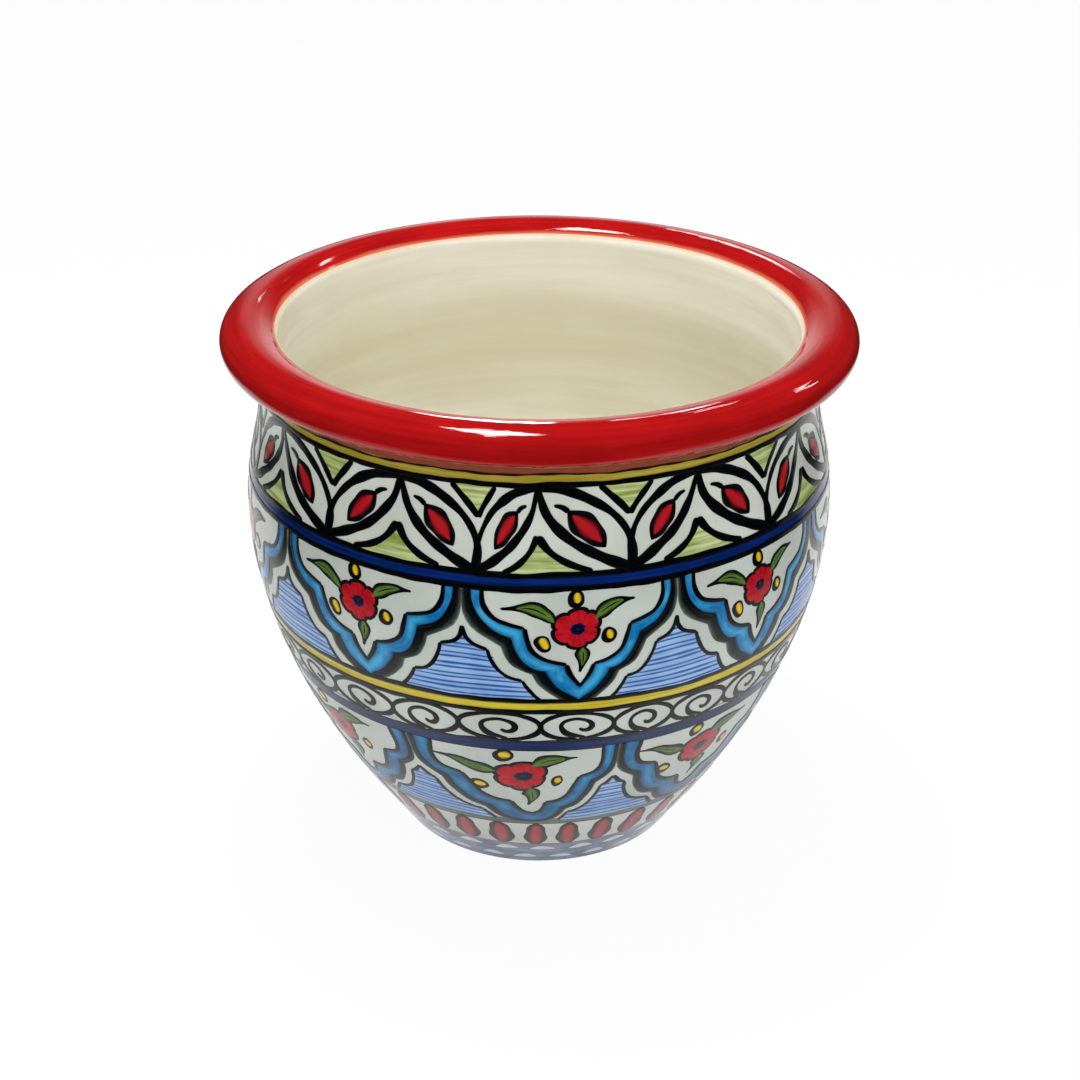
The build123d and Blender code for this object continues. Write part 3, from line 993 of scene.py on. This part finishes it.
# Finishes on the frame's coats. A ring's colours: thick, thin, and at its edges
BARE_CLAY = bare_clay()
RING_COLOURS = {
    "heel_brown_line": (tint(120, 100, 84), tint(164, 146, 128), tint(120, 104, 92)),
    "heel_green_line": (tint(70, 86, 80), tint(112, 126, 116), tint(44, 54, 54)),
    "waist_navy_line": (tint(10, 24, 58), tint(26, 50, 96), tint(6, 12, 28)),
    "black_lines": (tint(4, 5, 7), tint(18, 20, 22), tint(4, 5, 7)),
    "belly_yellow_line": (tint(176, 158, 30), tint(208, 190, 66), tint(112, 100, 30)),
    "shoulder_cobalt_line": (tint(2, 18, 66), tint(6, 42, 116), tint(1, 5, 20)),
    "neck_yellow_line": (tint(144, 128, 34), tint(176, 160, 66), tint(104, 84, 36)),
}
COAT_FINISHES = {
    "foot_ring": BARE_CLAY,
    "floor_slab": BARE_CLAY,
    "lower_wall": BARE_CLAY,
    "belly_wall": BARE_CLAY,
    "neck_wall": BARE_CLAY,
    "rim_roll": BARE_CLAY,
    "rim_red_glaze": red_rim_glaze(),
    "inner_cream_glaze": cream_inside_glaze(),
    "foot_wave_band": foot_wash_glaze(),
    # Seed and leaf bands: the same white ground painted lighter, as painted light
    "seed_band": SEED_GROUND_PAINTED_LIGHTER,
    "lower_lappet_band": WHITE_GROUND,
    "scroll_band": WHITE_GROUND,
    "upper_lappet_band": WHITE_GROUND,
    "leaf_band": LEAF_GROUND_PAINTED_LIGHTER,
}
for ring_name, ring_colours in RING_COLOURS.items():
    COAT_FINISHES[ring_name] = ring_glaze(ring_name, *ring_colours)
for node_name, coat_finish in COAT_FINISHES.items():
    coat = NODES[node_name]
    coat.data.materials.clear()
    coat.data.materials.append(coat_finish)


# Floor, light and camera
FLOOR_SIZE = 16
FLOOR_WHITENESS = 0.95
FLOOR_COLOUR = (0.9, 0.9, 0.9, 1)
WHITE = (1, 1, 1, 1)

# What the gloss shows of the floor: white near the pot, further out behind it, dim far off and in front
TABLE_WHITE, TABLE_DIM = 0.75, 0.015
TABLE_REACH = (0.5, 0.25)
BACK_START = (0, 0.3)
BACK_REACH, BACK_WHITE = 0.32, 0.25
FRONT_SHADE, SHADE_SLANT = (-0.2, -0.075), 0.5

# The world as a light, and what the gloss shows of it: a white backdrop low behind the pot
WORLD_LIGHT = 0.45
BACKDROP_WHITE, WORLD_DIM = 1.0, 0.03
BACKDROP_START = (0, 0.5)
BACKDROP_SIDES = (0.35, 0.08)
BACKDROP_TOP = (0.5, 0.15)

# Where lamps aim
BODY_MIDDLE = (0, 0, 0.1)
RIM_MIDDLE = (0, 0, 0.26)
FRONT_RIM = (-0.03, -0.13, 0.267)
OVER_FRONT_RIM = (-0.03, -0.13, 0.31)
BACK_RIGHT_RIM = (0.065, 0.12, 0.267)


def ray_kinds(start, *names):
    """Wires that are 1 for rays of the named kinds."""
    path = start.node("LightPath", {}, {}).socket.node.outputs
    return [Wire(start.tree, path[name]) for name in names]


def white_floor():
    """A wide white floor that keeps a faint shadow. In the gloss it is white round the pot and behind it."""
    bpy.ops.object.select_all(action="DESELECT")
    bpy.ops.mesh.primitive_plane_add(size=FLOOR_SIZE)
    floor = bpy.context.object
    floor.name = "floor"
    finish, start = new_finish("floor_white")
    lit = start.node("BsdfDiffuse", {}, {"Color": FLOOR_COLOUR})
    white = start.node("Emission", {}, {"Color": WHITE, "Strength": 1.0})
    x, y, _ = place_on_pot(start).split()
    behind = y.rise(*BACK_START)
    from_pot = (x * x + y * y).root() - behind * BACK_REACH
    table = from_pot.rise(*TABLE_REACH) * (y + x.size() * SHADE_SLANT).rise(*FRONT_SHADE)
    mirrored_strength = table * (TABLE_WHITE - TABLE_DIM + behind * BACK_WHITE) + TABLE_DIM
    mirrored_white = start.node("Emission", {}, {"Color": WHITE, "Strength": mirrored_strength})
    camera, glossy, through = ray_kinds(start, "Is Camera Ray", "Is Glossy Ray", "Is Transmission Ray")
    seen = start.node("MixShader", {}, {0: (camera + through) * FLOOR_WHITENESS, 1: lit, 2: white})
    shown = start.node("MixShader", {}, {0: glossy, 1: seen, 2: mirrored_white})
    start.node("OutputMaterial", {}, {"Surface": shown})
    floor.data.materials.append(finish)


def soft_world():
    """Even light from all round: white to the camera, dimmer as a light, a white backdrop in the gloss."""
    world = bpy.data.worlds.new("studio")
    world.use_nodes = True
    world.node_tree.nodes.clear()
    start = Wire(world.node_tree)
    camera, glossy, through = ray_kinds(start, "Is Camera Ray", "Is Glossy Ray", "Is Transmission Ray")
    x, y, up = start.node("TexCoord", {}, {}, "Generated").split()
    backdrop = y.rise(*BACKDROP_START) * x.size().rise(*BACKDROP_SIDES) * up.rise(*BACKDROP_TOP)
    mirrored_light = backdrop * (BACKDROP_WHITE - WORLD_DIM) + WORLD_DIM
    plain = glossy * (mirrored_light - WORLD_LIGHT) + WORLD_LIGHT
    strength = plain + (camera + through) * (1 - WORLD_LIGHT)
    shine = start.node("Background", {}, {"Color": WHITE, "Strength": strength})
    start.node("OutputWorld", {}, {"Surface": shine})
    bpy.context.scene.world = world


def lamp(name, place, aim, size, power, glossy=True, spread=180):
    """A soft box at a place, facing its aim, seen in the gloss or not, its light spread over an angle."""
    light = bpy.data.lights.new(name, "AREA")
    light.shape = "RECTANGLE"
    light.size, light.size_y = size
    light.energy = power
    light.spread = math.radians(spread)
    box = bpy.data.objects.new(name, light)
    bpy.context.collection.objects.link(box)
    box.location = place
    box.visible_glossy = glossy
    box.rotation_euler = (Vector(aim) - Vector(place)).to_track_quat("-Z", "Y").to_euler()


def photo_camera():
    """The photograph's camera."""
    data = bpy.data.cameras.new("photo_camera")
    data.lens = CAMERA_LENS
    data.sensor_width = CAMERA_SENSOR
    data.shift_x = CAMERA_SHIFT
    camera = bpy.data.objects.new("photo_camera", data)
    bpy.context.collection.objects.link(camera)
    camera.location = CAMERA_PLACE
    camera.rotation_euler = (math.pi / 2 - CAMERA_DOWN, CAMERA_ROLL, 0)
    bpy.context.scene.camera = camera


white_floor()
soft_world()

# Two lamps that light the pot and aren't seen in its gloss
lamp("ceiling_lamp", (-0.1, 0.1, 1.47), RIM_MIDDLE, (0.5, 0.5), 11, glossy=False)
lamp("front_lamp", (0.2, -1.4, 0.75), BODY_MIDDLE, (1.2, 0.8), 7.4, glossy=False)

# Lamps for the rim's highlights: one in front, one at the back, one above the front one, two at the right
lamp("skylight", (-0.15, 0.2, 1.47), FRONT_RIM, (0.24, 0.34), 7)
lamp("rear_window_lamp", (0.15, 1.0, 0.8), BACK_RIGHT_RIM, (0.12, 0.2), 0.012, spread=13)
lamp("window_lamp", (-0.06, 1.13, 0.8), OVER_FRONT_RIM, (0.15, 0.12), 0.0036, spread=6.5)
lamp("back_right_lamp", (0.33, 0.92, 1.15), RIM_MIDDLE, (0.12, 0.06), 0.3)
lamp("right_lamp", (0.86, 0.6, 0.98), RIM_MIDDLE, (0.05, 0.18), 0.4)

photo_camera()
bpy.context.scene.view_settings.view_transform = "Standard"
